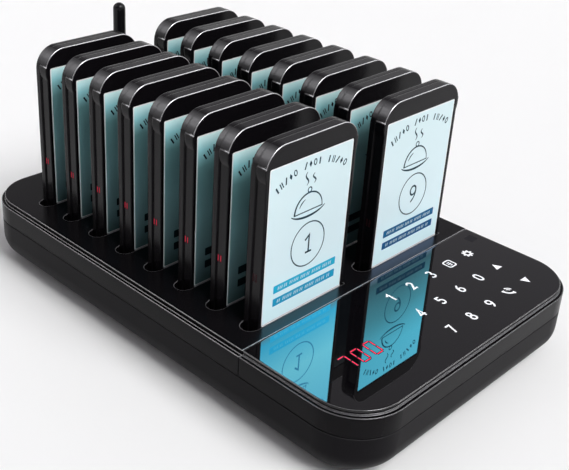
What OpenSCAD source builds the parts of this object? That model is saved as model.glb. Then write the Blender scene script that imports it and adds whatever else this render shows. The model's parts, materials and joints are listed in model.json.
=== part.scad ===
// Guest pager system: a counter base with a touch panel, and sixteen pagers in two rows of charging slots.
// +Z is up. The touch panel lies at the front, towards -Y, and the rear wall faces +Y.
// The origin is on the counter, under the middle of the base.

/* [Pager] */
// Width of a pager across its cap and rear shell
pager_w = 56.4; // [52:0.2:60]
// Height of a pager
pager_h = 100; // [96:1:112]
// Thickness of a pager from face to back
pager_t = 8.2; // [8:0.1:10]
// Radius of a pager's two top corners
pager_corner_r = 11; // [8:0.5:13]
// Radius of a pager's two bottom corners
pager_foot_r = 2; // [1:0.25:3]
// Height of the bare cap above the lit face
cap_h = 9.2; // [8:0.1:13]
// How far the cap stands out past the frame below it, on each side
cap_step = 0.7; // [0.3:0.1:1]
// Depth of the front frame, from the face back to the seam with the rear shell
frame_depth = 5.2; // [5:0.1:5.6]
// Wall thickness of a pager's case
case_wall = 1.2; // [1:0.1:1.4]
// Width of the frame on each side of the lit face
face_border = 1.9; // [1.6:0.1:3]
// Thickness of the lit face
face_t = 1.3; // [1:0.1:1.5]
// Corner radius of the lit face
face_corner_r = 0.8; // [0.4:0.1:2]

/* [Pager inside] */
// Width of the battery
battery_w = 34; // [24:1:38]
// Height of the battery
battery_h = 46; // [36:1:50]
// Radius of the vibration motor
motor_r = 5; // [4:0.25:6]
// Thickness of the vibration motor
motor_t = 2.7; // [2:0.1:3]
// Radius of a charging contact in the pager's foot
contact_r = 1.3; // [1:0.1:1.5]
// Distance between the two charging contacts of one pager
contact_spacing = 30; // [20:1:40]

/* [Slots] */
// Distance from one pager to the next along a row
pager_pitch = 21.3; // [20:0.1:26]
// Distance between the middles of the two rows
column_spacing = 74.6; // [73:0.2:84]
// Depth of a charging slot below the deck
slot_depth = 17.6; // [14:0.1:19]
// Clearance between a pager and its slot, all round
slot_clear = 0.4; // [0.3:0.05:0.6]
// Clearance between a pager's foot and the floor of its slot
seat_gap = 0.3; // [0.2:0.05:0.5]
// Radius of the round notch at the left end of each slot
notch_r = 4.1; // [3:0.1:4.2]
// Wall thickness of the slot trays
tray_wall = 1.6; // [1.2:0.1:1.8]

/* [Base] */
// Height of the deck above the counter
deck_z = 36; // [35:0.5:44]
// From a pager's outer side to the side wall of the base
side_margin = 17; // [16.6:0.1:26]
// Depth of the touch panel, from the front wall back to the joint with the deck
panel_l = 65.5; // [62:0.5:80]
// From that joint back to the face of the first pager
first_gap = 6.7; // [5.4:0.1:12]
// From the back of the last pager to the rear wall
rear_margin = 30.2; // [28:0.1:40]
// Radius of the two front corners
front_corner_r = 24.5; // [22:0.5:30]
// Radius of the two rear corners
rear_corner_r = 24; // [20:0.5:30]
// Radius of the rounded lower edge
lower_edge_r = 12.5; // [8:0.5:14]
// Wall thickness of the base
wall = 2.5; // [2:0.1:3]
// Height of the seam between the tub and the upper covers
seam_z = 23.4; // [23:0.1:26]
// Height of that seam's groove
seam_h = 0.6; // [0.3:0.1:1]
// Depth of that seam's groove
seam_depth = 0.8; // [0.4:0.1:1.2]
// How far the rim of the side walls lies below the deck
rim_drop = 2.4; // [2.2:0.1:4]
// How far the deck is set in from the side walls
rim_step = 1.8; // [1:0.1:2.4]
// Width of the gap where the deck and the touch panel meet
joint_gap = 0.3; // [0.2:0.05:0.5]
// Thickness of the deck
deck_t = 2.6; // [2.2:0.1:3]
// Thickness of the touch glass
glass_t = 1.6; // [1.1:0.1:2]
// Height of the rubber feet
foot_h = 2; // [1.5:0.1:3]
// Radius of the rubber feet
foot_r = 7; // [5:0.5:9]

/* [Electronics] */
// Thickness of the circuit boards
board_t = 1.6; // [1:0.1:2]
// Height of the main board above the counter
main_board_z = 21; // [18:0.5:22]
// Width of the three-digit display
display_w = 40; // [36:0.5:46]
// Depth of the three-digit display, front to back
display_l = 18; // [16:0.5:22]
// Sideways place of the display's middle
display_x = -43.9; // [-46:0.1:-42]
// Radius of the buzzer
buzzer_r = 6; // [4:0.5:7]

/* [Antenna] */
// Height of the antenna's tip above the counter
antenna_top = 126; // [124:0.5:180]
// Radius of the antenna
antenna_r = 3.6; // [3.4:0.1:5]
// From the rear wall forward to the antenna
antenna_inset = 12; // [11:0.5:14]
// Radius of the antenna's hinge pin
hinge_pin_r = 1.2; // [0.8:0.05:1.4]
// Radial running clearance of the hinge pin
hinge_clear = 0.05; // [0.02:0.01:0.08]
// Height of the hinge pin above the deck
hinge_rise = 9; // [8.5:0.25:14]

/* [Rear connections] */
// Height of the power inlet and the switch above the counter
port_z = 16.6; // [16.2:0.1:17]
// Sideways place of the power inlet
jack_x = 30; // [22:1:45]
// Radius of the power inlet's bore
jack_bore_r = 3.15; // [2.8:0.05:3.3]
// Depth of the power inlet's bore
jack_bore_l = 9.5; // [8:0.5:10]
// Radius of the power inlet's centre pin
jack_pin_r = 1.05; // [0.65:0.05:1.3]
// Sideways place of the switch
switch_x = -30; // [-45:1:-22]
// Length of the switch's rocker
rocker_l = 10.4; // [9:0.1:12]
// Height of the switch's rocker
rocker_h = 6.4; // [5.4:0.1:6.6]
// Angle between the rocker's two positions
rocker_throw = 14; // [8:1:16]

/* [Hidden] */
slots_per_row = 8;
pager_count = 2 * slots_per_row;
smooth = 64;
fine = 32;
cut = 1;              // overrun of a cutting shape past the face it cuts
loose = 0.15;         // gap all round between two pieces that are clipped together
small_r = 0.5;        // radius of a nearly sharp corner

function two_digits(k) = k < 10 ? str("0", k) : str(k);
function case_name(k) = str("pager_", two_digits(k), "_case");
function face_name(k) = str("pager_", two_digits(k), "_face");

BASE_NODES = [
    "lower_tub", "deck_cover", "front_bezel", "touch_glass", "touch_board", "led_display",
    "main_board", "radio_module", "buzzer", "ribbon_cable", "slot_tray_left", "slot_tray_right",
    "charge_board_left", "charge_board_right", "charge_posts", "antenna_socket", "antenna_nut",
    "antenna_pin", "antenna_whip", "dc_jack", "power_switch", "power_rocker", "rubber_feet",
    "cover_screws", "board_screws"
];

// Base, from the pagers outward
row_l = (slots_per_row - 1) * pager_pitch + pager_t;
base_w = column_spacing + pager_w + 2 * side_margin;
base_l = panel_l + first_gap + row_l + rear_margin;
front_y = -base_l / 2;
rear_y = base_l / 2;
joint_y = front_y + panel_l;
first_y = joint_y + first_gap;
rim_z = deck_z - rim_drop;
cover_z = seam_z + seam_h;
tub_floor_z = foot_h + wall;
split_l = 2 * base_l;

// Pager heights
pocket_floor_z = deck_z - slot_depth;
pager_z = pocket_floor_z + seat_gap;
frame_w = pager_w - 2 * cap_step;
face_w = frame_w - 2 * face_border;
face_rise = 0.2;
face_z0 = deck_z + face_rise - pager_z;
face_z1 = pager_h - cap_h;
face_h = face_z1 - face_z0;
face_inset = 0.1;
face_ledge = 2;
ledge_t = 0.9;
frame_cavity_y = face_inset + face_t + ledge_t;
pager_board_t = 0.8;
pager_board_y = frame_cavity_y + loose;
pager_parts_y = pager_board_y + pager_board_t + loose;
battery_t = pager_t - case_wall - loose - pager_parts_y;
contact_y = pager_board_y + pager_board_t / 2;
pager_board_z = case_wall + contact_r + loose;
battery_z = pager_board_z + 8;
pager_board_w = frame_w - 2 * case_wall - 1;
motor_drop = 4;
lamp_w = 3;
lamp_t = 0.8;

// Slots
slot_w = pager_w + 2 * slot_clear;
slot_t = pager_t + 2 * slot_clear;
tray_top = deck_z - deck_t;
tray_bottom = pocket_floor_z - tray_wall;
tray_flange_t = 1.6;
post_r = 0.9;
post_hole_r = post_r + 0.2;
post_clear = 1.2;
charge_board_z = tray_bottom - post_clear - board_t;

// Screw bosses
boss_r = 3;
tub_boss_r = 4;
screw_r = 1.4;
screw_clear = 0.15;
thread_clear = 0.05;  // all round a screw in the hole that it grips
screw_head_r = 2.6;
screw_head_h = 1.8;
screw_grip = 6;
screw_seat_z = tub_floor_z + 3;
boss_inset = 10;
corner_boss_y = front_y + 22;
joint_boss_y = joint_y - 6;
rear_boss_y = rear_y - 18;
centre_boss_y = first_y + 1.5 * pager_pitch + pager_t / 2;
centre_boss_y2 = first_y + 5.5 * pager_pitch + pager_t / 2;
side_boss_x = base_w / 2 - boss_inset;
bezel_bosses = [
    [-side_boss_x, corner_boss_y], [side_boss_x, corner_boss_y],
    [-side_boss_x, joint_boss_y], [side_boss_x, joint_boss_y]
];
deck_bosses = [
    [-side_boss_x, rear_boss_y], [side_boss_x, rear_boss_y],
    [0, centre_boss_y], [0, centre_boss_y2]
];

// Touch panel
window_side = 12;
window_end = 6;
window_r = front_corner_r - window_side;
bezel_top = deck_z - glass_t - 0.1;
ledge_bottom = rim_z - 1;
window_front = front_y + rim_step + window_end;
window_rear = joint_y - window_end;
window_half_w = base_w / 2 - window_side - rim_step;
touch_board_t = 1.2;
touch_board_z = deck_z - glass_t - 0.2 - touch_board_t;
display_y = (window_front + window_rear) / 2 - 1.9;
display_top = deck_z - glass_t - 0.3;
display_z = main_board_z + board_t;
display_rim = 2;
display_recess = 0.4;
board_margin = 1;
main_board_w = 2 * (side_boss_x - tub_boss_r - board_margin);
main_board_l = window_rear - window_front - 4 * board_margin;
main_board_y = (window_front + window_rear) / 2;
radio_x = 8;
radio_w = 22;
radio_l = 16;
radio_h = 2.8;
buzzer_inset = 21;
buzzer_x = main_board_w / 2 - buzzer_inset;
buzzer_h = 6.5;
buzzer_hole_r = 1;
ribbon_x = -8;
ribbon_w = 14;
ribbon_bend = 6;
ribbon_t = 0.5;

// Board pillars
pillar_r = 2.6;
pillar_screw_r = 1;
pillar_screw_l = 7;
charge_screw_l = 5;
pillar_head_r = 2;
pillar_head_h = 1.2;
pillar_inset = 5;
main_pillar_x = main_board_w / 2 - pillar_inset;
main_pillar_y = main_board_l / 2 - pillar_inset;
main_pillars = [for (sx = [-1, 1], sy = [-1, 1]) [sx * main_pillar_x, main_board_y + sy * main_pillar_y]];
row_mid_y = first_y + row_l / 2;
charge_board_w = contact_spacing + 16;
charge_board_l = row_l + 4 * board_margin;
charge_pillar_x = charge_board_w / 2 - pillar_inset;
charge_pillar_y = 3 * pager_pitch;
charge_pillars = [
    for (c = [-1, 1], sx = [-1, 1], sy = [-1, 1])
        [c * column_spacing / 2 + sx * charge_pillar_x, row_mid_y + sy * charge_pillar_y]
];

// Feet
foot_x = base_w / 2 - lower_edge_r - foot_r - 3;
foot_y = base_l / 2 - lower_edge_r - foot_r - 6;

// Antenna
antenna_y = rear_y - antenna_inset;
socket_r = antenna_r + 2;
socket_h = 3;
stem_r = 3.2;
nut_h = 2.6;
nut_r = 5.2;
hinge_z = deck_z + hinge_rise;
ear_t = 1.7;
tongue_w = 3.4;
ear_gap = 0.3;
ear_outer = tongue_w / 2 + ear_gap + ear_t;
ear_r = 3.4;
tongue_r = 3.2;
whip_z = hinge_z + ear_r + 1;
tip_r = antenna_r - 0.3;

// Rear connections
jack_body_w = 9;
jack_body_h = 9.6;
jack_body_l = 13.5;
jack_neck_r = jack_bore_r + 0.9;
jack_front_y = rear_y - 0.4;
inner_edge_r = lower_edge_r - wall;
jack_low = max(0, tub_floor_z + inner_edge_r - (port_z - jack_body_h / 2));
// The inlet's body stands back from the rear wall where the tub's rounded edge begins
jack_setback = inner_edge_r - sqrt(inner_edge_r * inner_edge_r - jack_low * jack_low);
jack_face_y = rear_y - wall - jack_setback - loose;
jack_back_y = jack_face_y - jack_body_l;
rib_spacing = 6;
rib_t = 1.5;
rib_l = 7;
jack_pin_l = jack_bore_l - 1;
rocker_pivot_y = rear_y - 3.1;
rocker_t = 1.3;
rocker_face = 2.2;
barrel_r = 2;
rocker_pin_r = 0.8;
rocker_pin_l = 0.9;
rocker_gap = 0.35;
switch_wall = 1.2;
rocker_reach = rocker_l / 2 * cos(rocker_throw / 2) + rocker_face * sin(rocker_throw / 2);
switch_inner_x = rocker_reach + rocker_gap;
switch_inner_z = rocker_h / 2 + rocker_gap;
switch_depth = 9;
switch_front_y = rear_y - 0.5;

// ---------- shared shapes ----------

// Rounded rectangle whose front (-Y) and rear (+Y) corners have radii of their own
module plan(w, l, front_r, rear_r) {
    translate([-w / 2, -l / 2 + front_r])
        square([w, l - front_r - rear_r]);
    translate([-w / 2 + front_r, -l / 2])
        square([w - 2 * front_r, front_r + cut]);
    translate([-w / 2 + rear_r, l / 2 - rear_r - cut])
        square([w - 2 * rear_r, rear_r + cut]);
    for (s = [-1, 1]) {
        translate([s * (w / 2 - front_r), -l / 2 + front_r])
            circle(r = front_r, $fn = smooth);
        translate([s * (w / 2 - rear_r), l / 2 - rear_r])
            circle(r = rear_r, $fn = smooth);
    }
}

// Outline of the base, set in by inset
module base_plan(inset) {
    plan(base_w - 2 * inset, base_l - 2 * inset, front_corner_r - inset, rear_corner_r - inset);
}

module base_slab(inset, z0, z1) {
    translate([0, 0, z0])
        linear_extrude(height = z1 - z0)
            base_plan(inset);
}

// What rounding by radius r takes off a square corner that sits at the origin and fills the quadrant +X, +Y
module corner_waste(r) {
    difference() {
        translate([-cut, -cut])
            square([r + cut, r + cut]);
        translate([r, r])
            circle(r = r, $fn = smooth);
    }
}

// The same waste swept a quarter turn round an upright corner of radius corner_r, from +X to +Y
module corner_waste_turned(corner_r, edge_r) {
    rotate_extrude(angle = 90, $fn = smooth)
        translate([corner_r, 0])
            mirror([1, 0])
                corner_waste(edge_r);
}

// Slab like base_slab with its lower edge rounded
module round_bottomed_slab(inset, z0, z1, edge_r) {
    half_w = base_w / 2 - inset;
    half_l = base_l / 2 - inset;
    front_r = front_corner_r - inset;
    rear_r = rear_corner_r - inset;
    difference() {
        base_slab(inset, z0, z1);
        for (side = [0, 1])
            mirror([side, 0, 0]) {
                translate([-half_w, half_l - rear_r, z0])
                    rotate([90, 0, 0])
                        linear_extrude(height = 2 * half_l - front_r - rear_r)
                            corner_waste(edge_r);
                translate([-half_w + front_r, -half_l + front_r, z0])
                    rotate([0, 0, 180])
                        corner_waste_turned(front_r, edge_r);
                translate([-half_w + rear_r, half_l - rear_r, z0])
                    rotate([0, 0, 90])
                        corner_waste_turned(rear_r, edge_r);
            }
        translate([-half_w + front_r, -half_l, z0])
            rotate([90, 0, 90])
                linear_extrude(height = 2 * (half_w - front_r))
                    corner_waste(edge_r);
        translate([half_w - rear_r, half_l, z0])
            rotate([90, 0, -90])
                linear_extrude(height = 2 * (half_w - rear_r))
                    corner_waste(edge_r);
    }
}

// Half-spaces in front of and behind the joint line
module front_half() {
    translate([-split_l / 2, joint_y - joint_gap / 2 - split_l, -split_l / 2])
        cube([split_l, split_l, split_l]);
}

module rear_half() {
    translate([-split_l / 2, joint_y + joint_gap / 2, -split_l / 2])
        cube([split_l, split_l, split_l]);
}

module block(x0, x1, y0, y1, z0, z1) {
    translate([x0, y0, z0])
        cube([x1 - x0, y1 - y0, z1 - z0]);
}

module rod(x, y, z0, z1, r) {
    translate([x, y, z0])
        cylinder(h = z1 - z0, r = r, $fn = fine);
}

// Outline of one slot seen from above, with its round notch at the left end
module slot_plan(grow) {
    translate([-slot_w / 2 - grow, -slot_clear - grow])
        square([slot_w + 2 * grow, slot_t + 2 * grow]);
    translate([-slot_w / 2, pager_t / 2])
        circle(r = notch_r + grow, $fn = fine);
}

module each_slot(column) {
    for (i = [0:slots_per_row - 1])
        translate([column * column_spacing / 2, first_y + i * pager_pitch, 0])
            children();
}

// Outer form shared by the deck cover and the bezel: the side walls, and a flat top set in from them
module upper_block(top_z) {
    base_slab(0, cover_z, rim_z);
    base_slab(rim_step, rim_z - cut, top_z);
}

module hanging_bosses(places, top_z) {
    for (p = places)
        rod(p[0], p[1], cover_z, top_z, boss_r);
}

module boss_bores(places) {
    for (p = places)
        rod(p[0], p[1], cover_z - cut, cover_z + screw_grip + cut, screw_r + thread_clear);
}

// ---------- base ----------

module lower_tub() {
    color([0.17, 0.16, 0.18])
    difference() {
        union() {
            round_bottomed_slab(0, foot_h, seam_z, lower_edge_r);
            base_slab(seam_depth, seam_z - cut, cover_z);
        }
        // Hollow, less the bosses, pillars and ribs that stand in it
        difference() {
            round_bottomed_slab(wall, tub_floor_z, cover_z + cut, lower_edge_r - wall);
            for (p = concat(bezel_bosses, deck_bosses))
                rod(p[0], p[1], 0, cover_z, tub_boss_r);
            for (p = main_pillars)
                rod(p[0], p[1], 0, main_board_z, pillar_r);
            for (p = charge_pillars)
                rod(p[0], p[1], 0, charge_board_z, pillar_r);
            for (s = [-1, 1])
                block(jack_x + s * rib_spacing / 2 - rib_t / 2, jack_x + s * rib_spacing / 2 + rib_t / 2,
                    jack_back_y + 1, jack_back_y + 1 + rib_l, 0, port_z - jack_body_h / 2);
        }
        for (p = concat(bezel_bosses, deck_bosses)) {
            rod(p[0], p[1], 0, cover_z + cut, screw_r + screw_clear);
            rod(p[0], p[1], 0, screw_seat_z, screw_head_r + screw_clear);
        }
        for (p = main_pillars)
            rod(p[0], p[1], main_board_z - pillar_screw_l, main_board_z + cut, pillar_screw_r + thread_clear);
        for (p = charge_pillars)
            rod(p[0], p[1], charge_board_z - charge_screw_l, charge_board_z + cut,
                pillar_screw_r + thread_clear);
        port_cuts();
    }
}

// Holes through the rear wall for the power inlet and the switch
module port_cuts() {
    translate([jack_x, rear_y + cut, port_z])
        rotate([90, 0, 0])
            cylinder(h = wall + 2 * cut, r = jack_neck_r + loose, $fn = fine);
    block(switch_x - switch_inner_x - switch_wall - loose, switch_x + switch_inner_x + switch_wall + loose,
        rear_y - wall - cut, rear_y + cut,
        port_z - switch_inner_z - switch_wall - loose, port_z + switch_inner_z + switch_wall + loose);
}

module deck_cover() {
    color([0.14, 0.13, 0.15])
    difference() {
        union() {
            intersection() {
                difference() {
                    upper_block(deck_z);
                    base_slab(wall, cover_z - cut, rim_z - deck_t);
                    base_slab(rim_step + wall, cover_z, tray_top);
                }
                rear_half();
            }
            hanging_bosses(deck_bosses, tray_top + cut / 2);
        }
        boss_bores(deck_bosses);
        for (c = [-1, 1])
            each_slot(c)
                translate([0, 0, tray_top - cut])
                    linear_extrude(height = deck_t + 2 * cut)
                        slot_plan(0);
        rod(0, antenna_y, tray_top - cut, deck_z + cut, stem_r + loose);
    }
}

module front_bezel() {
    color([0.15, 0.14, 0.16])
    difference() {
        union() {
            intersection() {
                difference() {
                    upper_block(bezel_top);
                    base_slab(wall, cover_z - cut, ledge_bottom);
                }
                front_half();
            }
            hanging_bosses(bezel_bosses, ledge_bottom + cut / 2);
        }
        boss_bores(bezel_bosses);
        window_prism(0, ledge_bottom - cut, bezel_top + cut);
    }
}

// Window in the bezel under the glass, or a piece that fills it, set in by inset
module window_prism(inset, z0, z1) {
    translate([0, (window_front + window_rear) / 2, z0])
        linear_extrude(height = z1 - z0)
            plan(2 * (window_half_w - inset), window_rear - window_front - 2 * inset, window_r - inset, 3);
}

module touch_glass() {
    color([0.06, 0.06, 0.07])
    intersection() {
        base_slab(rim_step, deck_z - glass_t, deck_z);
        front_half();
    }
}

module touch_board() {
    color([0.1, 0.25, 0.16])
    difference() {
        window_prism(0.4, touch_board_z, touch_board_z + touch_board_t);
        block(display_x - display_w / 2 - 0.5, display_x + display_w / 2 + 0.5,
            display_y - display_l / 2 - 0.5, display_y + display_l / 2 + 0.5,
            touch_board_z - cut, touch_board_z + touch_board_t + cut);
    }
}

module led_display() {
    color([0.35, 0.04, 0.05])
    difference() {
        block(display_x - display_w / 2, display_x + display_w / 2,
            display_y - display_l / 2, display_y + display_l / 2, display_z, display_top);
        // Recess over the three digits
        block(display_x - display_w / 2 + display_rim, display_x + display_w / 2 - display_rim,
            display_y - display_l / 2 + display_rim, display_y + display_l / 2 - display_rim,
            display_top - display_recess, display_top + cut);
    }
}

module main_board() {
    color([0.1, 0.35, 0.2])
    difference() {
        block(-main_board_w / 2, main_board_w / 2,
            main_board_y - main_board_l / 2, main_board_y + main_board_l / 2,
            main_board_z, main_board_z + board_t);
        for (p = main_pillars)
            rod(p[0], p[1], main_board_z - cut, main_board_z + board_t + cut, pillar_screw_r + screw_clear);
    }
}

module radio_module() {
    color([0.75, 0.75, 0.76])
    block(radio_x, radio_x + radio_w, main_board_y, main_board_y + radio_l, display_z, display_z + radio_h);
}

module buzzer() {
    color([0.1, 0.1, 0.1])
    difference() {
        rod(buzzer_x, main_board_y, display_z, display_z + buzzer_h, buzzer_r);
        rod(buzzer_x, main_board_y, display_z + buzzer_h - 2, display_z + buzzer_h + cut, buzzer_hole_r);
    }
}

// Flat cable from the main board up to the touch board
module ribbon_cable() {
    color([0.85, 0.85, 0.8])
    translate([ribbon_x, main_board_y, 0])
        rotate([90, 0, 0])
            linear_extrude(height = ribbon_w, center = true)
                difference() {
                    translate([0, display_z])
                        square([ribbon_bend, touch_board_z - display_z]);
                    translate([-cut, display_z + ribbon_t])
                        square([ribbon_bend - ribbon_t + cut, touch_board_z - display_z - 2 * ribbon_t]);
                }
}

// Row of eight open-topped pockets under one side of the deck, joined by a flange
module slot_tray(column) {
    difference() {
        union() {
            each_slot(column)
                translate([0, 0, tray_bottom])
                    linear_extrude(height = tray_top - tray_bottom)
                        slot_plan(tray_wall);
            block(column * column_spacing / 2 - slot_w / 2 - tray_wall,
                column * column_spacing / 2 + slot_w / 2 + tray_wall,
                first_y - slot_clear - tray_wall, first_y + row_l + slot_clear + tray_wall,
                tray_top - tray_flange_t, tray_top);
        }
        each_slot(column)
            translate([0, 0, pocket_floor_z])
                linear_extrude(height = tray_top - pocket_floor_z + cut)
                    slot_plan(0);
        each_slot(column)
            for (s = [-1, 1])
                rod(s * contact_spacing / 2, contact_y, tray_bottom - cut, pocket_floor_z + cut, post_hole_r);
    }
}

module slot_tray_left() {
    color([0.2, 0.2, 0.22])
    slot_tray(-1);
}

module slot_tray_right() {
    color([0.2, 0.2, 0.22])
    slot_tray(1);
}

module charge_board(column) {
    difference() {
        block(column * column_spacing / 2 - charge_board_w / 2,
            column * column_spacing / 2 + charge_board_w / 2,
            row_mid_y - charge_board_l / 2, row_mid_y + charge_board_l / 2,
            charge_board_z, charge_board_z + board_t);
        for (p = charge_pillars)
            rod(p[0], p[1], charge_board_z - cut, charge_board_z + board_t + cut,
                pillar_screw_r + screw_clear);
    }
}

module charge_board_left() {
    color([0.1, 0.35, 0.2])
    charge_board(-1);
}

module charge_board_right() {
    color([0.1, 0.35, 0.2])
    charge_board(1);
}

// Two fixed contact posts under each pager
module charge_posts() {
    color([0.83, 0.68, 0.3])
    for (c = [-1, 1])
        each_slot(c)
            for (s = [-1, 1])
                rod(s * contact_spacing / 2, contact_y, charge_board_z + board_t, pocket_floor_z, post_r);
}

module rubber_feet() {
    color([0.08, 0.08, 0.08])
    for (sx = [-1, 1], sy = [-1, 1])
        rod(sx * foot_x, sy * foot_y, 0, foot_h, foot_r);
}

module cover_screws() {
    color([0.6, 0.6, 0.62])
    for (p = concat(bezel_bosses, deck_bosses)) {
        rod(p[0], p[1], screw_seat_z - screw_head_h, screw_seat_z, screw_head_r);
        rod(p[0], p[1], screw_seat_z - screw_head_h, cover_z + screw_grip, screw_r);
    }
}

module board_screw(p, board_top, length) {
    rod(p[0], p[1], board_top, board_top + pillar_head_h, pillar_head_r);
    rod(p[0], p[1], board_top - length, board_top + pillar_head_h, pillar_screw_r);
}

module board_screws() {
    color([0.6, 0.6, 0.62])
    union() {
        for (p = main_pillars)
            board_screw(p, main_board_z + board_t, board_t + pillar_screw_l - cut);
        for (p = charge_pillars)
            board_screw(p, charge_board_z + board_t, board_t + charge_screw_l - cut);
    }
}

// ---------- antenna ----------

module antenna_socket() {
    color([0.1, 0.1, 0.11])
    difference() {
        union() {
            rod(0, antenna_y, deck_z, deck_z + socket_h, socket_r);
            rod(0, antenna_y, tray_top - nut_h - 2, deck_z + cut, stem_r);
            for (s = [-1, 1])
                translate([s * (ear_outer - ear_t / 2), antenna_y, 0])
                    union() {
                        block(-ear_t / 2, ear_t / 2, -ear_r, ear_r, deck_z + socket_h - cut, hinge_z);
                        translate([0, 0, hinge_z])
                            rotate([0, 90, 0])
                                cylinder(h = ear_t, r = ear_r, center = true, $fn = fine);
                    }
        }
        translate([0, antenna_y, hinge_z])
            rotate([0, 90, 0])
                cylinder(h = 2 * ear_outer + cut, r = hinge_pin_r + hinge_clear, center = true, $fn = fine);
    }
}

module antenna_nut() {
    color([0.8, 0.66, 0.35])
    difference() {
        translate([0, antenna_y, tray_top - nut_h])
            cylinder(h = nut_h, r = nut_r, $fn = 6);
        rod(0, antenna_y, tray_top - nut_h - cut, tray_top + cut, stem_r + thread_clear);
    }
}

module antenna_pin() {
    color([0.7, 0.7, 0.72])
    translate([0, antenna_y, hinge_z])
        rotate([0, 90, 0])
            cylinder(h = 2 * ear_outer, r = hinge_pin_r, center = true, $fn = fine);
}

module antenna_whip() {
    color([0.06, 0.06, 0.07])
    translate([0, antenna_y, 0])
    difference() {
        union() {
            // Flat tongue between the ears
            block(-tongue_w / 2, tongue_w / 2, -tongue_r, tongue_r, hinge_z, whip_z + cut);
            translate([0, 0, hinge_z])
                rotate([0, 90, 0])
                    cylinder(h = tongue_w, r = tongue_r, center = true, $fn = fine);
            // Rod with a slight taper and a domed tip
            translate([0, 0, whip_z])
                cylinder(h = antenna_top - tip_r - whip_z, r1 = antenna_r, r2 = tip_r, $fn = smooth);
            translate([0, 0, antenna_top - tip_r])
                sphere(r = tip_r, $fn = smooth);
        }
        translate([0, 0, hinge_z])
            rotate([0, 90, 0])
                cylinder(h = tongue_w + 2 * cut, r = hinge_pin_r + hinge_clear, center = true, $fn = fine);
    }
}

// ---------- rear connections ----------

module dc_jack() {
    color([0.12, 0.12, 0.13])
    union() {
        difference() {
            union() {
                block(jack_x - jack_body_w / 2, jack_x + jack_body_w / 2, jack_back_y, jack_face_y,
                    port_z - jack_body_h / 2, port_z + jack_body_h / 2);
                translate([jack_x, jack_front_y, port_z])
                    rotate([90, 0, 0])
                        cylinder(h = jack_front_y - jack_face_y + cut, r = jack_neck_r, $fn = fine);
            }
            translate([jack_x, jack_front_y + cut, port_z])
                rotate([90, 0, 0])
                    cylinder(h = jack_bore_l + cut, r = jack_bore_r, $fn = fine);
        }
        translate([jack_x, jack_front_y - jack_bore_l + jack_pin_l, port_z])
            rotate([90, 0, 0])
                cylinder(h = jack_pin_l + cut, r = jack_pin_r, $fn = fine);
    }
}

module power_switch() {
    color([0.1, 0.1, 0.11])
    translate([switch_x, 0, port_z])
    difference() {
        block(-switch_inner_x - switch_wall, switch_inner_x + switch_wall,
            rear_y - switch_depth, switch_front_y,
            -switch_inner_z - switch_wall, switch_inner_z + switch_wall);
        block(-switch_inner_x, switch_inner_x, rocker_pivot_y - barrel_r - rocker_gap, rear_y + cut,
            -switch_inner_z, switch_inner_z);
        translate([0, rocker_pivot_y, 0])
            cylinder(h = rocker_h + 2 * (rocker_pin_l + loose), r = rocker_pin_r + hinge_clear,
                center = true, $fn = fine);
    }
}

// Rocker at rest in its "on" position
module power_rocker() {
    color([0.5, 0.06, 0.06])
    translate([switch_x, rocker_pivot_y, port_z])
        rotate([0, 0, rocker_throw / 2])
            union() {
                block(-rocker_l / 2, rocker_l / 2, rocker_face - rocker_t, rocker_face,
                    -rocker_h / 2, rocker_h / 2);
                cylinder(h = rocker_h, r = barrel_r, center = true, $fn = fine);
                cylinder(h = rocker_h + 2 * rocker_pin_l, r = rocker_pin_r, center = true, $fn = fine);
            }
}

// ---------- pagers ----------

// Upright slab from y0 to y1 and z0 to z1, with rounded top and bottom corners
module upright(w, y0, y1, z0, z1, top_r, bottom_r) {
    translate([0, y1, (z0 + z1) / 2])
        rotate([90, 0, 0])
            linear_extrude(height = y1 - y0)
                plan(w, z1 - z0, bottom_r, top_r);
}

module front_frame() {
    difference() {
        union() {
            upright(frame_w, 0, frame_depth, 0, face_z1 + cut, small_r, pager_foot_r);
            upright(pager_w, 0, frame_depth, face_z1, pager_h, pager_corner_r, small_r);
        }
        upright(face_w + 2 * loose, -cut, face_inset + face_t + face_inset, face_z0 - loose, face_z1 + loose,
            face_corner_r, face_corner_r);
        upright(face_w - 2 * face_ledge, -cut, frame_cavity_y + cut,
            face_z0 + face_ledge, face_z1 - face_ledge, face_corner_r, face_corner_r);
        upright(frame_w - 2 * case_wall, frame_cavity_y, frame_depth + cut, case_wall, pager_h - case_wall,
            pager_corner_r - case_wall, pager_foot_r);
        for (s = [-1, 1])
            rod(s * contact_spacing / 2, contact_y, -cut, pager_board_z, contact_r + loose);
    }
}

module rear_shell() {
    difference() {
        upright(pager_w, frame_depth + loose, pager_t, 0, pager_h, pager_corner_r, pager_foot_r);
        upright(frame_w - 2 * case_wall, frame_depth - cut, pager_t - case_wall,
            case_wall, pager_h - case_wall, pager_corner_r - case_wall, pager_foot_r);
    }
}

// Circuit board with its lamps, battery, vibration motor and charging contacts of one pager
module pager_parts() {
    upright(pager_board_w, pager_board_y, pager_board_y + pager_board_t,
        pager_board_z, face_z1, small_r, small_r);
    for (s = [-1, 1], level = [1:3])
        translate([s * face_w / 4, pager_board_y - lamp_t, face_z0 + level * face_h / 4])
            translate([-lamp_w / 2, 0, -lamp_w / 2])
                cube([lamp_w, lamp_t + loose, lamp_w]);
    upright(battery_w, pager_parts_y, pager_parts_y + battery_t,
        battery_z, battery_z + battery_h, small_r, small_r);
    translate([0, pager_parts_y, face_z1 - motor_r - motor_drop])
        rotate([-90, 0, 0])
            cylinder(h = motor_t, r = motor_r, $fn = fine);
    for (s = [-1, 1])
        rod(s * contact_spacing / 2, contact_y, 0, pager_board_z - loose, contact_r);
}

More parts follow.
